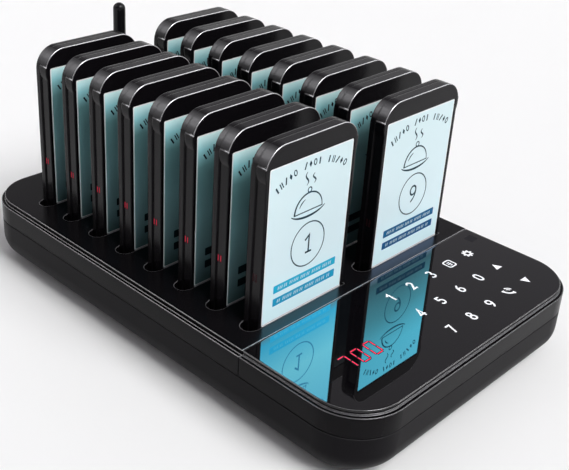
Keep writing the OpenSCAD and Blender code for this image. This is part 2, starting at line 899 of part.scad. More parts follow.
// Place of pager k: 1 to 8 stand in the left row, 9 to 16 in the right row, from the front back
module at_pager(k) {
    column = k <= slots_per_row ? -1 : 1;
    translate([column * column_spacing / 2, first_y + ((k - 1) % slots_per_row) * pager_pitch, pager_z])
        children();
}

module pager_case(k) {
    color([0.13, 0.12, 0.14])
    at_pager(k) {
        front_frame();
        rear_shell();
        pager_parts();
    }
}

module pager_face(k) {
    color([0.72, 0.9, 0.92])
    at_pager(k)
        upright(face_w, face_inset, face_inset + face_t, face_z0, face_z1, face_corner_r, face_corner_r);
}

lower_tub();
deck_cover();
front_bezel();
touch_glass();
touch_board();
led_display();
main_board();
radio_module();
buzzer();
ribbon_cable();
slot_tray_left();
slot_tray_right();
charge_board_left();
charge_board_right();
charge_posts();
antenna_socket();
antenna_nut();
antenna_pin();
antenna_whip();
dc_jack();
power_switch();
power_rocker();
rubber_feet();
cover_screws();
board_screws();
for (k = [1:pager_count]) {
    pager_case(k);
    pager_face(k);
}
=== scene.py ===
import json
import math
import bpy
import bmesh
from mathutils import Matrix, Vector

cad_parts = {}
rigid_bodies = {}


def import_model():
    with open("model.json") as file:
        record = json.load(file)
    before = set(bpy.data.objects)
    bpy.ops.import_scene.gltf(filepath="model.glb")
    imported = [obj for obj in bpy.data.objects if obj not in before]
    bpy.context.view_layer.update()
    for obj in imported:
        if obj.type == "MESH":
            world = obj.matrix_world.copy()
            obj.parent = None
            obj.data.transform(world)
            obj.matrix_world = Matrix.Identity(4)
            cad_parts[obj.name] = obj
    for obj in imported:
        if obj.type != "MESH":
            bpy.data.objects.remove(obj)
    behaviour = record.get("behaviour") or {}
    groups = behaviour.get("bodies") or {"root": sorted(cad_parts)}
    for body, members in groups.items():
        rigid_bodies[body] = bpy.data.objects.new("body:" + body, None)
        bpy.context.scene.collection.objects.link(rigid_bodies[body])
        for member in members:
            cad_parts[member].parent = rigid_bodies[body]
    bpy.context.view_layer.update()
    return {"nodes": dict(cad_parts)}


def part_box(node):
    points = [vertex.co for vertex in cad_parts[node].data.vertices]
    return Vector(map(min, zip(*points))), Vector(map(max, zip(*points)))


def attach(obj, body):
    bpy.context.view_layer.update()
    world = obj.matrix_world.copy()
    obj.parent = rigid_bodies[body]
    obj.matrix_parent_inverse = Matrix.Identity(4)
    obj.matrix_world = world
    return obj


for leftover in list(bpy.data.objects):
    bpy.data.objects.remove(leftover)

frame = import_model()
nodes = frame["nodes"]
mm = 0.001
pagerCount = 16
print("frame loaded:", len(nodes), "nodes")

viewPoint = {
    "spot": (-0.3174, -0.2920, 0.2718),  # where the photograph was taken from, in metres
    "azimuth": -46.34,                   # degrees, 0 looks along +Y
    "elevation": 26.78,
    "roll": 3.01,
    "focalPixels": 977.0,
    "shift": (0.0545, -0.0650),          # the photograph is a little off the lens's axis
    "photoWidth": 569,
    "sensor": 36.0,
}


def makeCamera(v):
    cam = bpy.data.cameras.new("photoCamera")
    cam.sensor_fit = "HORIZONTAL"
    cam.sensor_width = v["sensor"]
    cam.lens = v["sensor"] * v["focalPixels"] / v["photoWidth"]
    cam.shift_x, cam.shift_y = v["shift"]
    cam.clip_start = 0.01
    cam.clip_end = 20
    obj = bpy.data.objects.new("photoCamera", cam)
    bpy.context.scene.collection.objects.link(obj)
    az, el, roll = (math.radians(v[key]) for key in ("azimuth", "elevation", "roll"))
    back = Vector((math.sin(az) * math.cos(el), -math.cos(az) * math.cos(el), math.sin(el)))
    right = Vector((math.cos(az), math.sin(az), 0))
    tiltedRight = right * math.cos(roll) + back.cross(right) * math.sin(roll)
    tiltedUp = back.cross(tiltedRight)
    turn = Matrix((tiltedRight, tiltedUp, back)).transposed()
    obj.matrix_world = Matrix.Translation(Vector(v["spot"])) @ turn.to_4x4()
    bpy.context.scene.camera = obj


makeCamera(viewPoint)
bpy.context.scene.view_settings.view_transform = "Standard"
print("camera set")


def connect(tree, node, values):   # another node's socket is linked, a plain value is set
    for key, value in values.items():
        if isinstance(value, bpy.types.NodeSocket):
            tree.links.new(value, node.inputs[key])
        else:
            node.inputs[key].default_value = value


def addNode(tree, kind, values=None, **settings):
    node = tree.nodes.new(kind)
    for key, value in settings.items():
        setattr(node, key, value)
    connect(tree, node, values or {})
    return node


def calc(tree, operation, *terms, **settings):
    return addNode(tree, "ShaderNodeMath", dict(enumerate(terms)), operation=operation, **settings).outputs[0]


def vectorCalc(tree, operation, output, *terms):
    return addNode(tree, "ShaderNodeVectorMath", dict(enumerate(terms)), operation=operation).outputs[output]


def rescale(tree, value, start, end, low=0.0, high=1.0, **settings):
    return addNode(tree, "ShaderNodeMapRange", {"Value": value, "From Min": start, "From Max": end,
                                                "To Min": low, "To Max": high}, **settings).outputs["Result"]


def mix(tree, factor, a, b, kind="RGBA", **settings):
    return addNode(tree, "ShaderNodeMix", {"Factor": factor, "A": a, "B": b}, data_type=kind,
                   **settings).outputs["Result"]


def spotOn(tree):
    return addNode(tree, "ShaderNodeTexCoord").outputs["Object"]


def axis(tree, name):
    return addNode(tree, "ShaderNodeSeparateXYZ", {0: spotOn(tree)}).outputs[name]


def noise(tree, scale, shape, vector=None):
    values = {"Vector": vector or spotOn(tree), "Scale": scale}
    return addNode(tree, "ShaderNodeTexNoise", {**values, **shape}).outputs["Fac"]


def raysOf(tree, kind):
    return addNode(tree, "ShaderNodeLightPath").outputs[kind]


def useGroup(tree, group, values):
    return addNode(tree, "ShaderNodeGroup", values, node_tree=group).outputs


def newGroup(name, inputs, outputs):
    tree = bpy.data.node_groups.new(name, "ShaderNodeTree")
    for label, kind, value in inputs:
        item = tree.interface.new_socket(label, in_out="INPUT", socket_type="NodeSocket" + kind)
        item.default_value = value
    for label, kind in outputs:
        tree.interface.new_socket(label, in_out="OUTPUT", socket_type="NodeSocket" + kind)
    return tree, tree.nodes.new("NodeGroupInput").outputs, tree.nodes.new("NodeGroupOutput")


def rgba(r, g, b):
    return (r, g, b, 1.0)


# "found" is the stretch of a noise that counts, and "tone" what it does to the colour
mouldedLook = {"slow": 22.0, "slowShape": {"Detail": 4.0, "Roughness": 0.55},
               "fineShape": {"Detail": 2.0, "Roughness": 0.6}, "found": (0.3, 0.7), "tone": (0.55, 1.25)}


def makeMouldedGroup(v):   # fine spark-eroded grain, slow mottling of colour and shine
    tree, given, end = newGroup(
        "mouldedGrain",
        [("Colour", "Color", rgba(0.03, 0.03, 0.03)), ("Roughness", "Float", 0.4),
         ("Grain Size", "Float", 0.0006), ("Mottle", "Float", 0.1), ("Shine Change", "Float", 0.1)],
        [("Colour", "Color"), ("Roughness", "Float"), ("Height", "Float")])
    slow = noise(tree, v["slow"], v["slowShape"])
    shade = rescale(tree, slow, *v["found"], *v["tone"])
    change = calc(tree, "SUBTRACT", slow, 0.5)
    connect(tree, end, {
        "Colour": mix(tree, given["Mottle"], given["Colour"], shade, blend_type="MULTIPLY"),
        "Roughness": calc(tree, "MULTIPLY_ADD", change, given["Shine Change"], given["Roughness"]),
        "Height": noise(tree, calc(tree, "DIVIDE", 1.0, given["Grain Size"]), v["fineShape"])})
    return tree


dustLook = {"speck": (0.1, 0.03), "patches": 60.0, "found": (0.56, 0.66), "density": 900.0,
            "colour": rgba(0.22, 0.22, 0.23)}


def makeDustGroup(v):   # lint and fine dust as a sparse mask
    tree, given, end = newGroup("fineDust", [("Amount", "Float", 0.3), ("Scale", "Float", v["density"])],
                                [("Mask", "Float")])
    values = {"Vector": spotOn(tree), "Scale": given["Scale"]}
    specks = addNode(tree, "ShaderNodeTexVoronoi", values, feature="F1").outputs["Distance"]
    dot = rescale(tree, specks, *v["speck"])
    some = rescale(tree, noise(tree, v["patches"], {"Detail": 3.0}), *v["found"])
    both = calc(tree, "MULTIPLY", dot, some)
    connect(tree, end, {"Mask": calc(tree, "MULTIPLY", both, given["Amount"], use_clamp=True)})
    return tree


streakLook = {"found": (0.3, 0.7), "tone": (0.75, 1.1), "shineChange": 0.25}


def makeStreakGroup(v):   # fine drawn lines along one axis, for wire and sheet metal
    tree, given, end = newGroup(
        "drawnStreaks",
        [("Colour", "Color", rgba(0.6, 0.6, 0.6)), ("Roughness", "Float", 0.3),
         ("Stretch", "Vector", (4000.0, 4000.0, 300.0))],
        [("Colour", "Color"), ("Roughness", "Float"), ("Height", "Float")])
    stretched = vectorCalc(tree, "MULTIPLY", "Vector", spotOn(tree), given["Stretch"])
    lines = noise(tree, 1.0, {"Detail": 3.0}, stretched)
    tone = rescale(tree, lines, *v["found"], *v["tone"])
    connect(tree, end, {
        "Colour": mix(tree, 1.0, given["Colour"], tone, blend_type="MULTIPLY"),
        "Roughness": calc(tree, "MULTIPLY_ADD", lines, v["shineChange"], given["Roughness"]),
        "Height": lines})
    return tree


# "turned" is how far the rounded normal leans from the flat one, as a cosine. The pale colour is a painted
# highlight on the upward edges, and a fainter painted sheen on the rounded upper corners
paintedHighlightLook = {"samples": 8, "turned": (0.995, 0.90), "upward": (0.15, 0.40), "corner": (0.3, 0.6),
            "colour": rgba(0.80, 0.79, 0.82), "roughness": 0.30}


# The mask marks where a highlight is painted, on sharp edges that face upward; the corner output marks the
# rounded corners between a side and the top, where a sheen is painted
def makeEdgeGroup(v):   # rounded normal close to sharp edges, and a mask of those edges that face upward
    tree, given, end = newGroup("edgeMask", [("Radius", "Float", 0.0005)],
                                [("Mask", "Float"), ("Corner", "Float"), ("Normal", "Vector")])
    bevel = addNode(tree, "ShaderNodeBevel", {"Radius": given["Radius"]}, samples=v["samples"])
    rounded = bevel.outputs["Normal"]
    flat = addNode(tree, "ShaderNodeNewGeometry").outputs["Normal"]
    turned = vectorCalc(tree, "DOT_PRODUCT", "Value", rounded, flat)
    parts = addNode(tree, "ShaderNodeSeparateXYZ", {0: rounded}).outputs
    edge = rescale(tree, turned, *v["turned"])
    upward = rescale(tree, parts["Z"], *v["upward"])
    least = calc(tree, "MINIMUM", calc(tree, "ABSOLUTE", parts["X"]), parts["Z"])
    connect(tree, end, {"Normal": rounded, "Mask": calc(tree, "MULTIPLY", edge, upward),
                        "Corner": rescale(tree, least, *v["corner"])})
    return tree


mouldedGrain = makeMouldedGroup(mouldedLook)
edgeMask = makeEdgeGroup(paintedHighlightLook)
fineDust = makeDustGroup(dustLook)
drawnStreaks = makeStreakGroup(streakLook)


def newMaterial(name, values):
    mat = bpy.data.materials.new(name)
    mat.use_nodes = True
    bsdf = mat.node_tree.nodes["Principled BSDF"]
    connect(mat.node_tree, bsdf, values)
    return mat, mat.node_tree, bsdf


def addBump(tree, bsdf, height, strength, distance, normal=None):
    values = {"Height": height, "Strength": strength, "Distance": distance}
    if normal:
        values["Normal"] = normal
    connect(tree, bsdf, {"Normal": addNode(tree, "ShaderNodeBump", values).outputs["Normal"]})


# Every plastic: colour, shine, size of grain in metres, and how much mottling, change of shine and dust.
# Edge is how strong the painted highlight on the upward edges is, corner how strong the painted sheen on the
# pagers' rounded upper corners, and edgeWidth how wide in millimetres
plastics = {
    "basePlastic": {"colour": rgba(0.0060, 0.0053, 0.0066), "roughness": 0.40, "grain": 0.00045,
                    "bump": 0.20, "mottle": 0.25, "change": 0.12, "specular": 0.08, "ior": 1.45, "dust": 0.25,
                    "edge": 0.05, "edgeWidth": 0.5},
    "deckPlastic": {"colour": rgba(0.0050, 0.0045, 0.0054), "roughness": 0.25, "grain": 0.0004,
                    "bump": 0.08, "mottle": 0.2, "change": 0.10, "specular": 0.10, "ior": 1.42, "dust": 0.3,
                    "edge": 0.6, "edgeWidth": 0.6},
    "pagerPlastic": {"colour": rgba(0.0052, 0.0045, 0.0056), "roughness": 0.22, "grain": 0.0004,
                     "bump": 0.08, "mottle": 0.2, "change": 0.12, "specular": 0.15, "dust": 0.2,
                     "edge": 1.0, "edgeWidth": 0.85, "corner": 0.14,
                     "firstFront": -0.05765, "pitch": 0.0213, "frontFade": (0.0030, 0.0015)},
    "trayPlastic": {"colour": rgba(0.003, 0.003, 0.0035), "roughness": 0.5, "grain": 0.0006,
                    "bump": 0.25, "mottle": 0.2, "change": 0.1, "specular": 0.1, "dust": 0.1},
    "blackPlastic": {"colour": rgba(0.007, 0.007, 0.008), "roughness": 0.36, "grain": 0.0005,
                     "bump": 0.2, "mottle": 0.2, "change": 0.1, "specular": 0.25, "dust": 0.2},
    "antennaPlastic": {"colour": rgba(0.005, 0.005, 0.006), "roughness": 0.28, "grain": 0.0005,
                       "bump": 0.12, "mottle": 0.2, "change": 0.1, "specular": 0.2, "dust": 0.2},
    "rockerPlastic": {"colour": rgba(0.30, 0.008, 0.008), "roughness": 0.22, "grain": 0.0005,
                      "bump": 0.08, "mottle": 0.15, "change": 0.08, "specular": 0.5, "dust": 0.2},
    "footRubber": {"colour": rgba(0.018, 0.018, 0.019), "roughness": 0.8, "grain": 0.0009,
                   "bump": 0.5, "mottle": 0.35, "change": 0.1, "specular": 0.3, "dust": 0.8},
    "ribbonPlastic": {"colour": rgba(0.70, 0.70, 0.66), "roughness": 0.45, "grain": 0.0008,
                      "bump": 0.1, "mottle": 0.15, "change": 0.1, "specular": 0.4, "dust": 0.1},
    # The pager face's pale tint in reflections is a painted reflection
    "pagerFace": {"colour": rgba(0.90, 0.95, 0.96), "roughness": 0.12, "grain": 0.0006,
                  "bump": 0.02, "mottle": 0.04, "change": 0.05, "specular": 0.5, "dust": 0.0,
                  "edge": 0.0, "edgeWidth": 0.2, "paintedReflection": rgba(0.10, 0.22, 0.26)},
    "displayRed": {"colour": rgba(0.12, 0.004, 0.004), "roughness": 0.2, "grain": 0.0004,
                   "bump": 0.05, "mottle": 0.1, "change": 0.05, "specular": 0.5, "dust": 0.0},
}
plasticGrainDepth = 0.00012


def onFronts(tree, share, v):   # the painted highlight goes only on the front edges of the pagers
    first, half = v["firstFront"], v["pitch"] / 2
    depth = calc(tree, "WRAP", axis(tree, "Y"), first + half, first - half)
    front = rescale(tree, depth, *(first + fade for fade in v["frontFade"]))
    return calc(tree, "MULTIPLY", share, front)


def makePlastic(name, v):
    mat, tree, bsdf = newMaterial(name, {"Specular IOR Level": v["specular"], "IOR": v.get("ior", 1.5)})
    grain = useGroup(tree, mouldedGrain, {
        "Colour": v["colour"], "Roughness": v["roughness"], "Grain Size": v["grain"], "Mottle": v["mottle"],
        "Shine Change": v["change"]})
    dust = useGroup(tree, fineDust, {"Amount": v["dust"]})
    colour = mix(tree, dust["Mask"], grain["Colour"], dustLook["colour"])
    rough, normal = grain["Roughness"], None
    if "edge" in v:   # painted highlight on the upward edges and painted sheen on the rounded corners: a pale colour, partly painted light, partly metal that mirrors the lamps; in the panel's reflection they are not metallic, so no edge glares show there
        mask = useGroup(tree, edgeMask, {"Radius": v["edgeWidth"] * mm})
        share, normal = mask["Mask"], mask["Normal"]
        if "pitch" in v:
            share = onFronts(tree, share, v)
        edged = calc(tree, "MULTIPLY", share, v["edge"])
        paintedEdgeHighlight = calc(tree, "MULTIPLY_ADD", mask["Corner"], v.get("corner", 0.0), edged, use_clamp=True)
        connect(tree, bsdf, {"Metallic": rescale(tree, raysOf(tree, "Is Glossy Ray"), 0.0, 1.0, paintedEdgeHighlight, 0.0)})
        # painted highlight: the edges and corners turn pale
        colour = mix(tree, paintedEdgeHighlight, colour, paintedHighlightLook["colour"])
        rough = mix(tree, mask["Mask"], rough, paintedHighlightLook["roughness"], "FLOAT")
    # painted reflection: in glossy rays the colour is swapped for a given tint, not the face's own
    if "paintedReflection" in v:
        colour = mix(tree, raysOf(tree, "Is Glossy Ray"), colour, v["paintedReflection"])
    connect(tree, bsdf, {"Base Color": colour, "Roughness": rough})
    addBump(tree, bsdf, grain["Height"], v["bump"], plasticGrainDepth, normal)
    return mat


metals = {
    "contactBrass": {"colour": rgba(0.80, 0.58, 0.22), "roughness": 0.22, "stretch": (5000, 5000, 400)},
    "pinSteel": {"colour": rgba(0.62, 0.62, 0.64), "roughness": 0.22, "stretch": (400, 5000, 5000)},
    "screwSteel": {"colour": rgba(0.50, 0.50, 0.52), "roughness": 0.3, "stretch": (3000, 3000, 400)},
    "shieldCan": {"colour": rgba(0.66, 0.66, 0.68), "roughness": 0.28, "stretch": (300, 4000, 4000)},
}


def makeMetal(name, v):
    mat, tree, bsdf = newMaterial(name, {"Metallic": 1.0})
    streaks = useGroup(tree, drawnStreaks, {"Colour": v["colour"], "Roughness": v["roughness"],
                                            "Stretch": v["stretch"]})
    connect(tree, bsdf, {"Base Color": streaks["Colour"], "Roughness": streaks["Roughness"]})
    addBump(tree, bsdf, streaks["Height"], 0.1, 0.00005)
    return mat


boardLook = {"mask": rgba(0.015, 0.14, 0.06), "track": rgba(0.05, 0.27, 0.13), "trackScale": 420.0,
             "trackWidth": 0.05, "roughness": 0.32}


def makeBoard(v):   # solder mask with paler tracks under it
    mat, tree, bsdf = newMaterial("circuitBoard", {"Roughness": v["roughness"]})
    tracks = addNode(tree, "ShaderNodeTexBrick", {
        "Vector": spotOn(tree), "Scale": v["trackScale"], "Mortar Size": v["trackWidth"],
        "Color1": v["mask"], "Color2": v["mask"], "Mortar": v["track"]}).outputs
    connect(tree, bsdf, {"Base Color": tracks["Color"]})
    addBump(tree, bsdf, tracks["Fac"], 0.2, 0.00003)
    return mat


panelLook = {
    "colour": rgba(0.0030, 0.0026, 0.0034), "ior": 1.42, "roughness": 0.015, "edgeWidth": 0.5,
    "smear": 0.04, "smearScale": 35.0, "smearFound": (0.5, 0.8),
    "smearShape": {"Detail": 6.0, "Roughness": 0.65, "Distortion": 0.6},
    "dust": 0.2, "dustColour": rgba(0.2, 0.2, 0.21),
}


def makePanel(v):   # smoked, polished panel: nearly black itself, it mirrors what stands behind it
    mat, tree, bsdf = newMaterial("smokedPanel", {"IOR": v["ior"]})
    smear = noise(tree, v["smearScale"], v["smearShape"])
    rough = rescale(tree, smear, *v["smearFound"], v["roughness"], v["roughness"] + v["smear"])
    mask = useGroup(tree, edgeMask, {"Radius": v["edgeWidth"] * mm})
    edge = mask["Mask"]
    dust = useGroup(tree, fineDust, {"Amount": v["dust"]})
    colour = mix(tree, dust["Mask"], v["colour"], v["dustColour"])
    # painted highlight: along the sharp upward edges the panel turns a pale metal, a painted edge line that
    # also mirrors the lamps
    connect(tree, bsdf, {"Base Color": mix(tree, edge, colour, paintedHighlightLook["colour"]), "Metallic": edge,
                         "Roughness": mix(tree, edge, rough, paintedHighlightLook["roughness"], "FLOAT"),
                         "Normal": mask["Normal"]})
    return mat


# The printed card behind each pager's clear face. Its colour paints light and shade: a lit copy on the front
# row, with a faint painted glow that is strongest low down, and on the rows behind a shaded copy, darker
# towards the bottom and bright at the top, for the shade of the pagers in front. In the panel's reflection a
# card shows a painted reflection, a strong glow as of one lit from behind. Rows, heights and the aisle are in
# metres, and a colour's place is its share of the card's height
cardLook = {
    "bottom": 0.036, "top": 0.110, "frontRow": -0.050, "secondRow": -0.044, "aisle": 0.004,
    "cloud": 0.08, "cloudScale": 28.0, "roughness": 0.3, "specular": 0.15,
    "coat": 0.25, "coatRoughness": 0.05,
    "lit": [(0.0, rgba(0.64, 0.85, 0.90)), (0.35, rgba(0.66, 0.81, 0.85)), (1.0, rgba(0.65, 0.81, 0.84))],
    "paintedFrontGlow": [(0.0, rgba(0.14, 0.19, 0.21)), (0.5, rgba(0.06, 0.07, 0.08)), (1.0, rgba(0.02, 0.02, 0.02))],
    "shaded": [(0.0, rgba(0.080, 0.160, 0.165)), (0.20, rgba(0.160, 0.295, 0.315)),
               (0.50, rgba(0.200, 0.415, 0.440)), (0.80, rgba(0.165, 0.370, 0.385)),
               (0.91, rgba(0.360, 0.780, 0.830)), (1.0, rgba(0.750, 1.0, 1.0))],
    "paintedReflectionLeft": [(0.0, rgba(1.50, 3.20, 4.20)), (0.10, rgba(1.10, 3.40, 4.40)),
                     (0.16, rgba(0.50, 5.80, 9.20)), (0.45, rgba(2.20, 9.00, 11.5)),
                     (1.0, rgba(1.60, 8.00, 11.5))],
    "paintedReflectionRight": [(0.0, rgba(2.00, 2.90, 4.60)), (0.10, rgba(1.20, 1.90, 2.80)),
                      (0.16, rgba(0.25, 1.00, 1.30)), (0.45, rgba(0.55, 3.10, 4.00)),
                      (0.75, rgba(1.00, 6.60, 9.00)), (1.0, rgba(1.20, 7.20, 10.0))],
    "paintedReflectionBehind": rgba(0.01, 0.03, 0.035), "paintedReflectionBase": rgba(0.01, 0.03, 0.04),
}
unlitColour = rgba(0, 0, 0)


def makeCard(name, v):
    mat, tree, bsdf = newMaterial(name, {
        "Roughness": v["roughness"], "Specular IOR Level": v["specular"], "Coat Weight": v["coat"],
        "Coat Roughness": v["coatRoughness"], "Emission Strength": 1.0})
    height = rescale(tree, axis(tree, "Z"), v["bottom"], v["top"])
    cloud = noise(tree, v["cloudScale"], {"Detail": 3.0})
    uneven = calc(tree, "MULTIPLY_ADD", cloud, v["cloud"], -v["cloud"] / 2)
    level = calc(tree, "ADD", height, uneven, use_clamp=True)

    def ramp(stops):
        node = addNode(tree, "ShaderNodeValToRGB", {"Fac": level})
        while len(node.color_ramp.elements) < len(stops):
            node.color_ramp.elements.new(0.5)
        for element, (spot, colour) in zip(node.color_ramp.elements, stops):
            element.position, element.color = spot, colour
        return node.outputs["Color"]

    row = rescale(tree, axis(tree, "Y"), v["frontRow"], v["secondRow"])
    rightSide = rescale(tree, axis(tree, "X"), -v["aisle"], v["aisle"])
    paintedReflection = raysOf(tree, "Is Glossy Ray")
    # painted light and shade: the lit colour on the front row, the shaded colour on the rows behind
    shown = mix(tree, row, ramp(v["lit"]), ramp(v["shaded"]))
    # painted reflection: in glossy rays the front row's cards glow strongly, the rows behind and the card's
    # own colour go dark
    paintedReflectionGlow = mix(tree, rightSide, ramp(v["paintedReflectionLeft"]), ramp(v["paintedReflectionRight"]))
    glow = mix(tree, row, paintedReflectionGlow, v["paintedReflectionBehind"])
    # painted glow on the front row, seen directly
    frontGlowPainted = mix(tree, row, ramp(v["paintedFrontGlow"]), unlitColour)
    connect(tree, bsdf, {"Base Color": mix(tree, paintedReflection, shown, v["paintedReflectionBase"]),
                         "Emission Color": mix(tree, paintedReflection, frontGlowPainted, glow)})
    return mat


# Printed and glowing marks: colour, its second tone, how much it glows, and the left and right rows' painted
# reflection, the glow they show in the panel. A mark by side has its second tone in the right row only
inks = {
    "inkDark": {"colour": rgba(0.006, 0.030, 0.045), "second": rgba(0.012, 0.05, 0.07), "glow": 0.0,
                "paintedReflection": (rgba(0.5, 3.4, 6.0), rgba(0.10, 0.9, 1.5))},
    "inkBar": {"colour": rgba(0.018, 0.44, 0.68), "second": rgba(0.004, 0.120, 0.29), "glow": 0.0,
               "paintedReflection": (rgba(0.3, 5.6, 9.6), rgba(0.02, 0.25, 0.45)), "bySide": True},
    "inkBarDeep": {"colour": rgba(0.014, 0.35, 0.60), "second": rgba(0.003, 0.095, 0.26), "glow": 0.0,
                   "paintedReflection": (rgba(0.3, 5.6, 9.6), rgba(0.02, 0.25, 0.45)), "bySide": True},
    "inkWhite": {"colour": rgba(0.80, 0.92, 0.95), "second": rgba(0.70, 0.86, 0.90), "glow": 0.0,
                 "paintedReflection": (rgba(0.6, 6.6, 10.2), rgba(0.10, 0.7, 1.1))},
    "keyWhite": {"colour": rgba(0.9, 0.9, 0.92), "second": rgba(0.8, 0.8, 0.83), "glow": 0.3},
    "ledRed": {"colour": rgba(0.85, 0.012, 0.05), "second": rgba(0.95, 0.03, 0.09), "glow": 0.75},
    # The red glow round the LED digits is painted, the light of the segments spread on the panel
    "paintedLedGlow": {"colour": rgba(0.045, 0.0008, 0.002), "second": rgba(0.03, 0.0008, 0.002), "glow": 0.5},
    "lampRed": {"colour": rgba(0.40, 0.010, 0.030), "second": rgba(0.50, 0.02, 0.05), "glow": 0.35},
    "lampRim": {"colour": rgba(0.055, 0.004, 0.008), "second": rgba(0.035, 0.003, 0.006), "glow": 0.2},
    "lampOff": {"colour": rgba(0.030, 0.006, 0.009), "second": rgba(0.022, 0.006, 0.008), "glow": 0.0},
    "sensorDark": {"colour": rgba(0.012, 0.011, 0.014), "second": rgba(0.008, 0.007, 0.010), "glow": 0.0},
}
# The behind colour is a painted shade, the dark tone of the marks on the rows behind
inkLook = {"roughness": 0.45, "specular": 0.1, "grain": 700.0, "aisle": 0.01,
           "behind": rgba(0.004, 0.014, 0.018)}


def makeInk(name, v):   # screen print: slightly uneven tone, matt
    mat, tree, bsdf = newMaterial(name, {"Roughness": inkLook["roughness"], "Emission Strength": v["glow"],
                                         "Specular IOR Level": inkLook["specular"]})
    side = rescale(tree, axis(tree, "X"), -inkLook["aisle"], inkLook["aisle"])
    tone = side if "bySide" in v else noise(tree, inkLook["grain"], {"Detail": 3.0})
    colour = mix(tree, tone, v["colour"], v["second"])
    if v["glow"]:
        connect(tree, bsdf, {"Emission Color": colour})
    if "paintedReflection" in v:   # painted shade darkens the marks on the rows behind, and as a painted reflection only the front row's marks glow in glossy rays, so only they show in the panel
        front = rescale(tree, axis(tree, "Y"), cardLook["secondRow"], cardLook["frontRow"])
        colour = mix(tree, front, inkLook["behind"], colour)
        shown = calc(tree, "MULTIPLY", raysOf(tree, "Is Glossy Ray"), front)
        glow = mix(tree, shown, unlitColour, mix(tree, side, *v["paintedReflection"]))
        connect(tree, bsdf, {"Emission Color": glow, "Emission Strength": 1.0})
    connect(tree, bsdf, {"Base Color": colour})
    return mat


materials = {name: makePlastic(name, v) for name, v in plastics.items()}
materials.update({name: makeMetal(name, v) for name, v in metals.items()})
materials["circuitBoard"] = makeBoard(boardLook)
materials["smokedPanel"] = makePanel(panelLook)
materials["printCard"] = makeCard("printCard", cardLook)
materials.update({name: makeInk(name, v) for name, v in inks.items()})
print("materials made:", len(materials))

nodeFinish = {
    "lower_tub": "basePlastic", "deck_cover": "deckPlastic", "front_bezel": "deckPlastic",
    "touch_glass": "smokedPanel", "touch_board": "circuitBoard", "led_display": "displayRed",
    "main_board": "circuitBoard", "radio_module": "shieldCan", "buzzer": "blackPlastic",
    "ribbon_cable": "ribbonPlastic", "slot_tray_left": "trayPlastic", "slot_tray_right": "trayPlastic",
    "charge_board_left": "circuitBoard", "charge_board_right": "circuitBoard",
    "charge_posts": "contactBrass", "antenna_socket": "blackPlastic", "antenna_nut": "contactBrass",
    "antenna_pin": "pinSteel", "antenna_whip": "antennaPlastic", "dc_jack": "blackPlastic",
    "power_switch": "blackPlastic", "power_rocker": "rockerPlastic", "rubber_feet": "footRubber",
    "cover_screws": "screwSteel", "board_screws": "screwSteel",
    "pager_case": "pagerPlastic", "pager_face": "pagerFace",
}
# Width of the rounding that moulding leaves on sharp edges, in millimetres
edgeRounding = {
    "lower_tub": 0.35, "deck_cover": 0.7, "front_bezel": 0.7, "touch_glass": 0.5, "pager_case": 0.7,
    "pager_face": 0.2, "antenna_whip": 0.4, "antenna_socket": 0.4, "power_rocker": 0.3, "power_switch": 0.25,
    "dc_jack": 0.3, "rubber_feet": 0.5,
}
softening = {"weld": 0.000002, "flatAngle": 0.3, "sharpAngle": 40, "segments": 3, "weight": 80}


def softenEdges(obj, width, v):
    weld = obj.modifiers.new("weld", "WELD")
    weld.merge_threshold = v["weld"]
    flat = obj.modifiers.new("flatten", "DECIMATE")
    flat.decimate_type = "DISSOLVE"
    flat.angle_limit = math.radians(v["flatAngle"])
    bevel = obj.modifiers.new("soften", "BEVEL")
    bevel.width = width * mm
    bevel.segments = v["segments"]
    bevel.limit_method = "ANGLE"
    bevel.angle_limit = math.radians(v["sharpAngle"])
    bevel.use_clamp_overlap = True
    bevel.harden_normals = False
    bevel.miter_outer = "MITER_ARC"
    even = obj.modifiers.new("even", "WEIGHTED_NORMAL")
    even.keep_sharp = True
    even.weight = v["weight"]


def finishNode(name, obj):
    kind = "pager_" + name[-4:] if name.startswith("pager_") else name
    for slot in obj.material_slots:
        slot.material = materials[nodeFinish[kind]]
    if kind in edgeRounding:
        softenEdges(obj, edgeRounding[kind], softening)


for name, obj in nodes.items():
    finishNode(name, obj)
print("nodes finished")


# Every mark is a flat sheet of ink just proud of what carries it. Its points are in millimetres, and a higher
# layer lies further out
def newSheet(name, place, finishes):
    return {"name": name, "bm": bmesh.new(), "place": place, "finishes": finishes}


def addPatch(sheet, points, finish, layer=0):   # points run counter-clockwise
    verts = [sheet["bm"].verts.new(sheet["place"](p[0], p[1], layer)) for p in points]
    face = sheet["bm"].faces.new(verts)
    face.material_index = sheet["finishes"].index(finish)


def addStroke(sheet, points, width, finish, layer=0, closed=False):
    pts = [Vector((p[0], p[1])) for p in points]
    count = len(pts)
    widths = list(width) if isinstance(width, (list, tuple)) else [width] * count
    edges = []
    for i, p in enumerate(pts):
        before = pts[i - 1] if (i > 0 or closed) else None
        after = pts[(i + 1) % count] if (i < count - 1 or closed) else None
        d0 = (p - before).normalized() if before is not None else None
        d1 = (after - p).normalized() if after is not None else None
        if d0 is None or d1 is None:
            d = d1 if d0 is None else d0
            side, grow = Vector((-d.y, d.x)), 1.0
        else:
            d = (d0 + d1).normalized()
            side = Vector((-d.y, d.x))
            grow = 1 / max(0.45, side.dot(Vector((-d0.y, d0.x))))   # no long spikes at sharp turns
        reach = side * widths[i] / 2 * grow
        edges.append((p + reach, p - reach))
    bm, place = sheet["bm"], sheet["place"]
    rows = [[bm.verts.new(place(p.x, p.y, layer)) for p in pair] for pair in edges]
    index = sheet["finishes"].index(finish)
    for i in range(count if closed else count - 1):
        (la, ra), (lb, rb) = rows[i], rows[(i + 1) % count]
        bm.faces.new((ra, rb, lb, la)).material_index = index


